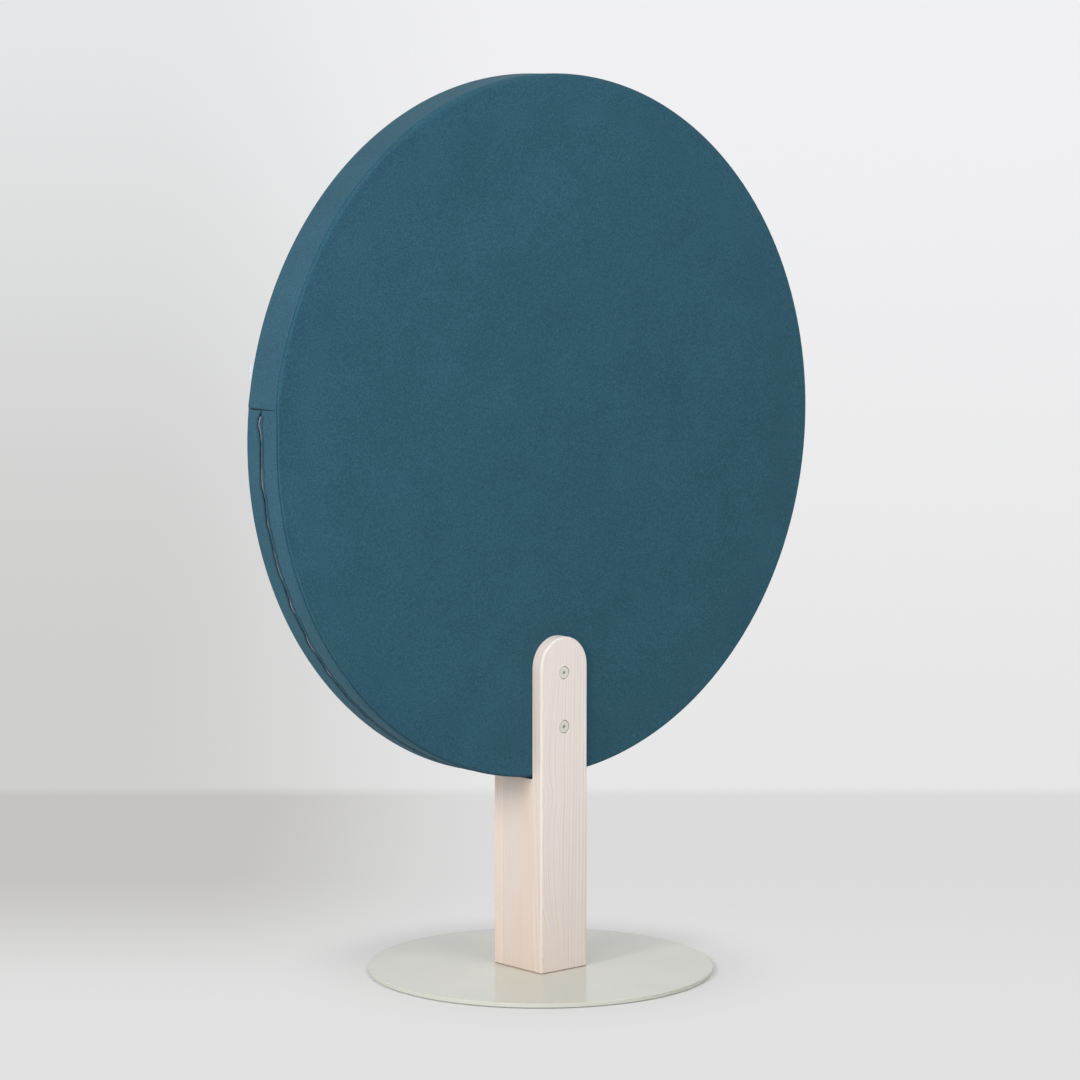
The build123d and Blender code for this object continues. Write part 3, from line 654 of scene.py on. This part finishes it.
def coil_shift(angle):
    """How far the coils lie behind the zip's middle: less than 0, so in front of it, on the left
    and above three o'clock, and 0 on the right below that."""
    return -coil_lead * ease((over_nine(angle) - coil_lead_start) / coil_lead_width)


def front_lap(angle):
    """How far the front strip's fold laps over the coils."""
    return least_lap + wave_lap * (1 - ease((zip_line(angle) * 1000 - wave_start) / wave_width))


def fold_share(side, offset):
    """1 at a strip's folded edge and 0 further out."""
    return 1 - ease((offset - fold_rim) / (fold_ease_front if side < 0 else fold_ease_back))


def fold_shift(angle, side, offset):
    """How far a strip is shifted outward, offset metres from the zip's middle. Its folded edge
    follows the zip's waves and closes over the coils; further out the strip lies straighter."""
    share = fold_share(side, offset)
    if side < 0:
        lap = -front_lap(angle)
    else:
        closing = ease((zip_line(angle) * 1000 - closing_start) / closing_width)
        lap = back_clearance - back_closing * closing
    return side * zip_line(angle) * (0.5 + 0.5 * share) - zip_squeeze(angle) + lap * share


def flap_lift(reach):
    """How much of the upper strip's folded end stands up, less beside the seams."""
    from_front = ease((reach - flap_front_start) / flap_front_width)
    to_back = 1 - flap_back_drop * ease((reach - flap_back_start) / flap_back_width)
    return flap_least + (1 - flap_least) * from_front * to_back


def strip_of(name, columns, rows):
    """A flat strip, with the number of each point's column and row."""
    bpy.ops.mesh.primitive_grid_add(x_subdivisions=columns - 1, y_subdivisions=rows - 1, size=1)
    strip = bpy.context.object
    strip.name = name
    x, y, _ = points_of(strip)
    column = np.rint((x + 0.5) * (columns - 1)).astype(int)
    row = np.rint((y + 0.5) * (rows - 1)).astype(int)
    return strip, column, row


def spread(start, end, step, end_steps):
    """Angles from start to end, closer together near both ends, at the named steps in metres."""
    near = np.array(end_steps) / panel_radius
    turn = np.sign(end - start)
    count = int(abs(end - start) * panel_radius / step)
    middle = np.linspace(start + turn * near[-1], end - turn * near[-1], count)
    return np.concatenate([start + turn * near[:-1], middle, end - turn * near[-2::-1]])


def in_metres(rows):
    """Rows of (offset, height) in millimetres, as two columns in metres."""
    return np.array(rows).T / 1000


strip_thickness = 0.0009
# The border's wool is the face wool tinted a little redder: painted light on the rim.
border_wool = felted_wool("border_wool", paint(53, 93, 109), paint(40, 76, 92), 0.12)
# The strips' sections in millimetres: (distance from the seam, height), and for the lower strips'
# folds (distance from the zip's middle, height), from the turned-in edge outwards
seam_rows = (
    (0.35, -2.3), (0.45, -1.25), (0.6, -0.8), (0.85, -0.35), (1.2, 0.1), (1.8, 0.38),
    (2.9, 0.38), (5.5, 0.0))
fold_rows = (
    (3.7, -1.0), (3.3, -1.0), (2.8, -0.92), (2.48, -0.72), (2.4, -0.48), (2.48, -0.25), (2.8, 0.0),
    (3.1, 0.12), (3.4, 0.05), (3.8, -0.2), (4.2, -0.55), (4.7, -0.85), (5.3, -0.85), (5.9, -0.55),
    (6.8, -0.1), (8.2, 0.12), (11.0, 0.05))
free_rows = ((0, 0.02),) * 6
turned_in = 7
groove_first, groove_last = 9, 14
# The stitches stand in the groove, which runs out before the zip's end
stitch_row = 0.0050
groove_end, groove_fade = 0.007, 0.004
pucker_low, pucker_high, pucker_width = -0.00015, 0.00012, 0.0016
# The back strip's groove and fold are shallower, as a share of the front's
back_groove, back_turn = 0.25, 0.6
# Where the front fold laps further over the coils it climbs, as a share of the lap
lap_climb = 0.2
ripple_height, ripple_place, ripple_width = 0.00022, 0.009, 0.007
tuck_depth, tuck_end, tuck_fade = 0.0009, 0.0005, 0.004
wide_wobble, tight_wobble = 0.0002, 0.00015
strip_past_end = 0.006


def finish_strip(strip, node, angle, reach, height, groove_shade_height):
    """Lays a strip on the rim, gives it its thickness and its wool, with painted shade where it
    lies low.
    """
    shade_grooves(strip, groove_shade_height)
    lay(strip, angle, reach, height)
    thicken(strip, strip_thickness)
    strip.data.materials.append(border_wool)
    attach(strip, "screen")
    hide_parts(node)


def lower_strip(name, node, side, seam_turns):
    """One border strip beside the zip, from its fold over the zip tape to the seam. The back strip
    is drawn down less by its stitches."""
    offsets, heights = in_metres(fold_rows + free_rows + seam_rows[::-1])
    strip, column, row = strip_of(name, len(strip_angles), len(offsets))
    angle = strip_angles[column]
    folded = row < len(fold_rows)
    in_groove = (row >= groove_first) & (row <= groove_last)
    drawn_down = 1.0 if side < 0 else back_groove
    # The section's low rows set where painted shade darkens the strip.
    groove_shade_height = heights[row] * np.where(row >= groove_first, drawn_down, 1)
    heights[groove_first:groove_last + 1] *= drawn_down
    heights[:turned_in] *= 1.0 if side < 0 else back_turn

    wobble = wide_wobble * np.sin(angle * 83 + side)
    wobble += tight_wobble * np.sin(angle * 191 + 2 * side)
    fold_at = fold_shift(angle, side, offsets[row]) + wobble
    fold_width = fold_rows[-1][0] / 1000
    first = fold_shift(angle, side, fold_width) + wobble + fold_width
    seam = seam_reach(seam_turns, angle)
    last = seam - seam_rows[-1][0] / 1000
    share = (row - len(fold_rows) + 1) / (len(free_rows) + 1)
    reach = np.where(folded, fold_at + offsets[row], seam - offsets[row])
    reach = np.where((share > 0) & (share < 1), first + (last - first) * share, reach)

    beside_zip = np.exp(-((reach - fold_at - ripple_place) / ripple_width) ** 2)
    ripple = np.sin(angle * 41 + 1.7 * side) * np.sin(angle * 127 + 3 * np.sin(angle * 13))
    to_end = to_zip_end(angle)
    depth = np.where(in_groove, ease((to_end - groove_end) / groove_fade), 1)
    depth = np.where(folded, depth, seam_draw(angle))
    tuck = -tuck_depth * flap_lift(side * reach) * (1 - ease((to_end - tuck_end) / tuck_fade))
    pucker = np.where(column % 2, pucker_low, pucker_high) * drawn_down
    pucker = pucker * np.exp(-((offsets[row] - stitch_row) / pucker_width) ** 2)
    pucker = np.where(folded, pucker, 0)
    height = (heights[row] + pucker) * depth + ripple_height * ripple * beside_zip + tuck
    if side < 0:
        height += lap_climb * (front_lap(angle) - least_lap) * fold_share(side, offsets[row])
        flip(strip)
    finish_strip(strip, node, angle, side * reach, height, groove_shade_height * depth)


strip_angles = spread(
    zip_end + strip_past_end, -pi - zip_end - strip_past_end,
    step=0.0016, end_steps=(0, 0.0008, 0.0018, 0.003))
lower_strip("border_front_strip", "border_lower_front", -1, front_seam_turns)
lower_strip("border_back_strip", "border_lower_back", 1, back_seam_turns)

# The upper strip runs from seam to seam; its folded ends stand up over the zip's ends
upper_angles = spread(
    zip_end, pi - zip_end,
    step=0.0025, end_steps=(0, 0.0002, 0.0006, 0.0012, 0.0022, 0.004, 0.006, 0.009))
upper_middle_rows = 15
upper_rows = 2 * len(seam_rows) + upper_middle_rows
upper_strip, upper_column, upper_row = strip_of(
    "border_upper_strip", len(upper_angles), upper_rows)
upper_angle = upper_angles[upper_column]
upper_offsets, upper_heights = in_metres(seam_rows)
front_row = np.minimum(upper_row, len(seam_rows) - 1)
back_row = np.minimum(upper_rows - 1 - upper_row, len(seam_rows) - 1)
front_reach = -seam_reach(front_seam_turns, upper_angle) + upper_offsets[front_row]
back_reach = seam_reach(back_seam_turns, upper_angle) - upper_offsets[back_row]
upper_share = (upper_row - len(seam_rows) + 1) / (upper_middle_rows + 1)
upper_reach = np.where(upper_share < 0.5, front_reach, back_reach)
upper_reach = np.where(
    (upper_share > 0) & (upper_share < 1),
    front_reach + (back_reach - front_reach) * upper_share, upper_reach)
# The folded end's height, as (millimetres from the fold, millimetres)
end_fold = (
    (0, -0.8), (0.2, 0.4), (0.6, 1.2), (1.2, 1.65), (2.2, 1.85), (4.0, 1.75), (6.0, 1.45),
    (9.0, 1.0), (14, 0.45), (22, 0.1), (30, 0))
from_fold = np.minimum(upper_angle - zip_end, pi - zip_end - upper_angle) * panel_radius * 1000
upper_height = drawn(upper_angle, upper_heights[front_row] + upper_heights[back_row])
upper_height = upper_height + (
    along(end_fold, np.clip(from_fold, 0, 30)) / 1000 * flap_lift(upper_reach))
finish_strip(
    upper_strip, "border_upper", upper_angle, upper_reach, upper_height, upper_height)


# Seam thread: the run of thread at the bottom of both seams, where the face cloths and the border
# are sewn together. Its colour is much darker than the wool's, painted shade of the seams' grooves,
# so it shows as a fine dark line.
thread_finish = Finish("sewing_thread")
thread_twist = thread_finish.noise(2500.0, 2.0)
thread_and_shade_tone = thread_finish.blend(thread_twist, paint(22, 46, 57), paint(38, 68, 81))
thread_finish.relief(thread_twist, 0.0001)
thread_and_shade = thread_finish.coat(Base_Color=thread_and_shade_tone, Roughness=0.7)
seam_thread_radius = 0.0005
seam_thread_depth = 0.0009
seam_thread_spread = 1.5


def seam_thread(name, side, seam_turns):
    """A closed ring of thread in one seam, pressed a little flat between the cloths."""
    bpy.ops.mesh.primitive_torus_add(
        major_radius=panel_radius, minor_radius=seam_thread_radius, major_segments=720,
        minor_segments=6)
    ring = bpy.context.object
    ring.name = name
    x, y, z = points_of(ring)
    angle = np.arctan2(y, x)
    reach = seam_reach(seam_turns, angle) + z * seam_thread_spread
    lay(ring, angle, side * reach, np.hypot(x, y) - panel_radius - seam_thread_depth)
    face_outward(ring)
    apply_all(ring)
    ring.data.materials.append(thread_and_shade)
    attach(ring, "screen")


seam_thread("front_seam_thread", -1, front_seam_turns)
seam_thread("back_seam_thread", 1, back_seam_turns)


# Topstitching: rows of single stitches that hold the folded strips on the zip tapes, drawn down
# into the wool, and a short row beside the front seam where it is pulled open above the zip.
stitch_pitch = 2 * (strip_angles[5] - strip_angles[6]) * panel_radius
stitch_length = 0.0022
stitch_radius = 0.00045
zip_stitch_depths = ((-1, "front", 0.00075), (1, "back", 0.0003))
seam_stitch_start, seam_stitch_end = pi - radians(13.5), pi - radians(7.0)
seam_stitch_offset, seam_stitch_depth = 0.0042, 0.00015


def repeat_along(piece, pitch, count):
    """Repeats the piece along x."""
    repeat = piece.modifiers.new("repeat", "ARRAY")
    repeat.use_relative_offset = False
    repeat.use_constant_offset = True
    repeat.constant_offset_displace = (pitch, 0, 0)
    repeat.count = count
    apply_all(piece)


def stitches(name, start, end, across, depth_in):
    """A row of stitches from one angle to another, across(angle) metres behind the middle line."""
    bpy.ops.mesh.primitive_cylinder_add(
        vertices=6, radius=stitch_radius, depth=stitch_length, rotation=(0, pi / 2, 0))
    row = bpy.context.object
    row.name = name
    bpy.ops.object.transform_apply(location=False, rotation=True, scale=False)
    repeat_along(row, stitch_pitch, int(round(abs(end - start) * panel_radius / stitch_pitch)))
    x, y, z = points_of(row)
    angle = start + np.sign(end - start) * x / panel_radius
    lay(row, angle, across(angle) + y, z - depth_in)
    face_outward(row)
    # The stitches take the dark thread: painted shade of the pits they sink into.
    row.data.materials.append(thread_and_shade)
    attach(row, "screen")


for side, place, depth_in in zip_stitch_depths:
    stitches(
        f"zip_stitches_{place}", strip_angles[9], strip_angles[-9],
        lambda angle, side=side: side * (stitch_row + fold_shift(angle, side, stitch_row)),
        depth_in)
stitches(
    "front_seam_stitches", seam_stitch_start, seam_stitch_end,
    lambda angle: seam_stitch_offset - seam_reach(front_seam_turns, angle), seam_stitch_depth)


# Zip: two woven tapes, nearly black, with a middle grey nylon coil along each edge. The closed
# coils show between the folded strips. Metal stops sit at both ends.
tape_finish = Finish("zip_tape")
tape_ribs = tape_finish.noise(1.0, 1.0, 0.5, tape_finish.stretched(1800.0, 1200.0, 1800.0))
tape_tone = tape_finish.blend(tape_ribs, paint(10, 18, 23), paint(20, 32, 38))
tape_finish.relief(tape_ribs, 0.0002)
tape_cloth = tape_finish.coat(Base_Color=tape_tone, Roughness=0.9, Specular_IOR_Level=0.2)
tape_thickness = 0.0003
# The tape's section, as (millimetres from the zip's middle, height)
tape_rows = (
    (0.3, -1.65), (2.0, -1.6), (4.0, -1.6), (6.5, -1.6), (9.0, -1.5), (11.0, -1.35), (14.0, -1.35))


def zip_tape(name, node, side):
    """One zip tape, under the folded edge of its strip."""
    angles = spread(zip_end, -pi - zip_end, step=0.004, end_steps=(0, 0.002))
    tape, column, row = strip_of(name, len(angles), len(tape_rows))
    angle = angles[column]
    offset, height = in_metres(tape_rows)[:, row]
    lay(tape, angle, zip_line(angle) + coil_shift(angle) + side * offset, height)
    if side < 0:
        flip(tape)
    thicken(tape, tape_thickness)
    tape.data.materials.append(tape_cloth)
    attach(tape, "screen")
    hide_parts(node)


zip_tape("zip_tape_front_cloth", "zip_tape_front", -1)
zip_tape("zip_tape_back_cloth", "zip_tape_back", 1)

# A thin dark sheet at both ends of the zip, under the upper strip's folded end, drawn in towards
# the front: painted shadow of the fold, in the zip tapes' near-black cloth.
shadow_sheet_columns, shadow_sheet_rows = 7, 48
shadow_sheet_reach = 0.0285
shadow_sheet_tall, shadow_sheet_sunk, shadow_sheet_gap = 0.00045, 0.00015, 0.0001
# Half the shadow sheet's width, as (place across the rim, millimetres)
shadow_sheet_widths = ((-0.5, 0.2), (-0.36, 0.6), (-0.1, 0.8), (0.12, 0.85), (0.34, 1.2), (0.5, 0.5))
for place, shadow_sheet_angle, shadow_sheet_turn in (("right", zip_end, -1), ("left", pi - zip_end, 1)):
    bpy.ops.mesh.primitive_grid_add(
        x_subdivisions=shadow_sheet_columns, y_subdivisions=shadow_sheet_rows, size=1)
    shadow_sheet = bpy.context.object
    shadow_sheet.name = f"cross_seam_shadow_sheet_{place}"
    x, y, _ = points_of(shadow_sheet)
    round_shadow_sheet = x * 2 * pi * (shadow_sheet_columns - 1) / shadow_sheet_columns
    half_width = along(shadow_sheet_widths, y) / 1000
    out = shadow_sheet_gap + half_width * (1 + np.cos(round_shadow_sheet))
    angle = shadow_sheet_angle + shadow_sheet_turn * out / panel_radius
    lay(shadow_sheet, angle, y * 2 * shadow_sheet_reach, shadow_sheet_tall * np.sin(round_shadow_sheet) - shadow_sheet_sunk)
    bpy.ops.object.mode_set(mode="EDIT")
    bpy.ops.mesh.select_all(action="SELECT")
    bpy.ops.mesh.remove_doubles(threshold=0.00002)
    bpy.ops.mesh.select_all(action="DESELECT")
    bpy.ops.mesh.select_non_manifold()
    bpy.ops.mesh.fill_holes(sides=0)
    bpy.ops.object.mode_set(mode="OBJECT")
    face_outward(shadow_sheet)
    apply_all(shadow_sheet)
    shadow_sheet.data.materials.append(tape_cloth)
    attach(shadow_sheet, "screen")

# The closed coils: a rounded tooth from each side, repeated along the zip from the slider's place
# at rest to the left stop
coil_finish = Finish("zip_coil")
coil_shade = coil_finish.noise(300.0, 2.0)
coil_tone = coil_finish.blend(coil_shade, paint(126, 125, 130), paint(150, 149, 153))
coil_finish.relief(coil_shade, 0.00004)
coil_nylon = coil_finish.coat(Base_Color=coil_tone, Roughness=0.35)
coil_pitch = 0.0016
coil_reach = 0.00145
coil_lap = 0.0004
coil_half_width = 0.00036
coil_half_height = 0.00085
coil_height = -0.0013
# The coils dip where the front fold laps further over them, as a share of the lap
coil_dip = 0.08
tooth_length = coil_reach + coil_lap
tooth_rounding, tooth_bevel = 0.1, 0.45
pull_place = frame["joints"][1]["pos_m"]
slider_angle = np.arctan2(pull_place[2] - panel_height, pull_place[0])
left_stop = -pi - zip_end + 0.020
teeth = []
for side in (-1, 1):
    bpy.ops.mesh.primitive_cylinder_add(
        vertices=8, radius=1, depth=tooth_length * (1 - 2 * tooth_rounding),
        rotation=(pi / 2, 0, 0), end_fill_type="NGON",
        location=(side * coil_pitch / 4, side * (coil_reach - coil_lap) / 2, 0))
    tooth = bpy.context.object
    tooth.scale = (coil_half_width, coil_half_height, 1)
    bpy.ops.object.transform_apply(location=True, rotation=True, scale=True)
    bpy.ops.object.mode_set(mode="EDIT")
    bpy.ops.mesh.select_all(action="DESELECT")
    bpy.ops.object.mode_set(mode="OBJECT")
    for face in tooth.data.polygons:
        face.select = len(face.vertices) > 4
    bpy.ops.object.mode_set(mode="EDIT")
    bpy.ops.mesh.inset(
        thickness=coil_half_width * tooth_bevel, depth=tooth_length * tooth_rounding)
    bpy.ops.object.mode_set(mode="OBJECT")
    teeth.append(tooth)
teeth[0].select_set(True)
bpy.ops.object.join()
coil = bpy.context.object
coil.name = "zip_coils"
repeat_along(coil, coil_pitch, int((slider_angle - left_stop) * panel_radius / coil_pitch))
x, y, z = points_of(coil)
angle = slider_angle - x / panel_radius
depth = zip_line(angle) + coil_shift(angle) + y
radius = panel_radius + coil_height + z - coil_dip * (front_lap(angle) - least_lap)
put_round(coil, angle, radius, depth)
face_outward(coil)
coil.data.materials.append(coil_nylon)
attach(coil, "screen")
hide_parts("zip_chain")

zip_metal_finish = Finish("zip_metal")
zip_metal_wear = zip_metal_finish.noise(260.0, 4.0, 0.6)
zip_metal_worn = zip_metal_finish.between(zip_metal_wear, 0.60, 0.75)
zip_metal_finish.relief(zip_metal_wear, 0.00003)
zip_metal = zip_metal_finish.coat(
    Base_Color=zip_metal_finish.blend(zip_metal_worn, paint(34, 38, 40), paint(92, 94, 94)),
    Metallic=0.85,
    Roughness=zip_metal_wear * 0.2 + 0.28)
for metal_node in ("zip_slider", "zip_pull", "zip_stops"):
    nodes[metal_node].material_slots[0].material = zip_metal


# Label: a folded white tape, sewn into the back seam above nine o'clock and left blank. It stands
# out of the seam, furthest at its top, and curls a little.
label_angle = pi - radians(11.6)
label_tall = 0.0235
label_reach = 0.0075
label_sunk = 0.0006
label_thickness = 0.00015
label_half_gap = 0.00022
label_turn = radians(45)
label_fold_turn = 24
label_stand, label_lean = 0.70, 0.25
label_curl_middle, label_curl_slope = 0.0012, 0.03
label_columns, label_rows = 14, 25
label_finish = Finish("label_satin")
label_weave = label_finish.noise(1.0, 1.0, 0.5, label_finish.stretched(2600.0, 2600.0, 1500.0))
label_tone = label_finish.blend(label_weave, paint(192, 197, 207), paint(206, 210, 219))
label_finish.relief(label_weave, 0.00008)
label_satin = label_finish.coat(Base_Color=label_tone, Roughness=0.6, Sheen_Weight=0.2)
label, label_column, label_row = strip_of("seam_label_tape", label_columns, label_rows)
from_fold = label_row / (label_rows - 1) - 0.5
label_side = np.sign(from_fold) * np.minimum(np.abs(from_fold) * label_fold_turn, 1)
label_up = (label_column / (label_columns - 1) - 0.5) * label_tall
label_out = label_reach * (1 - np.abs(from_fold) * 2) - label_sunk
label_out = label_out * (label_stand + label_lean * label_up / (label_tall / 2))
label_curl = (label_curl_middle - label_curl_slope * label_up) * (label_out / label_reach) ** 2
label_off = label_curl + label_side * label_half_gap
label_seam = seam_reach(back_seam_turns, np.array([label_angle]))
label_radius, label_depth = round_edge(label_seam, 0.0)
put_round(
    label, label_angle - label_up / panel_radius,
    label_radius + label_out * np.sin(label_turn) + label_off * np.cos(label_turn),
    label_depth + label_out * np.cos(label_turn) - label_off * np.sin(label_turn))
thicken(label, label_thickness, offset=0)
label.data.materials.append(label_satin)
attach(label, "screen")
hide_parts("seam_label")


# Metal inside: zinc plated screws and tubes, brass inserts and eyelets, all hidden when the screen
# is put together.
def bare_metal(name, colour, dull):
    """A plain metal with fine drawing marks."""
    finish = Finish(name)
    marks = finish.noise(1.0, 2.0, 0.5, finish.stretched(300.0, 300.0, 2500.0))
    finish.relief(marks, 0.00002)
    return finish.coat(
        Base_Color=finish.blend(marks, colour, dull), Metallic=1.0, Roughness=marks * 0.15 + 0.25)


zinc = bare_metal("zinc_plate", paint(176, 180, 184), paint(150, 154, 160))
brass = bare_metal("brass", paint(200, 170, 106), paint(176, 146, 84))
for metal_node in ("base_screws", "spacer_tubes", "frame_screws"):
    nodes[metal_node].material_slots[0].material = zinc
for metal_node in ("post_inserts", "cover_eyelets"):
    nodes[metal_node].material_slots[0].material = brass


# Inner frame: a hoop of bent plies, rails and a block of plain birch and pine, with beech dowels.
# It is left raw, because the wadding and the cloth cover it.
frame_heart, frame_lean = (0.09, 0.12), (0.02, 0.03)
for wood_node, ring, light, dark in (
        ("frame_hoop", 0.0015, paint(214, 184, 142), paint(186, 150, 106)),
        ("mounting_block", 0.0014, paint(216, 188, 146), paint(190, 156, 112)),
        ("spine_rail", 0.0032, paint(222, 192, 146), paint(196, 156, 106)),
        ("cross_rail", 0.0030, paint(222, 192, 146), paint(196, 156, 106)),
        ("spine_dowels", 0.0012, paint(214, 178, 140), paint(190, 150, 112))):
    nodes[wood_node].material_slots[0].material = pigmented_ash(
        wood_node + "_wood", frame_heart, frame_lean, ring, light, dark)


# Filling: four slabs of pressed fibre that take up the sound, and polyester wadding over both
# faces and round the hoop, which rounds the shape under the cloth.
def fibre_fill(name, light, dark, tuft):
    """Loose matted fibre."""
    finish = Finish(name)
    tufts = finish.noise(tuft, 5.0, 0.65)
    finish.relief(tufts, 0.001)
    return finish.coat(
        Base_Color=finish.blend(tufts, dark, light), Roughness=0.95, Sheen_Weight=0.2)


slab_fibre = fibre_fill("slab_fibre", paint(170, 172, 174), paint(108, 110, 114), 260.0)
white_fleece = fibre_fill("white_fleece", paint(244, 244, 242), paint(206, 207, 206), 180.0)
for slab_place in ("lower_left", "lower_right", "upper_left", "upper_right"):
    nodes["absorber_" + slab_place].material_slots[0].material = slab_fibre
for fill_node in ("wadding_front", "wadding_back", "rim_wadding"):
    nodes[fill_node].material_slots[0].material = white_fleece
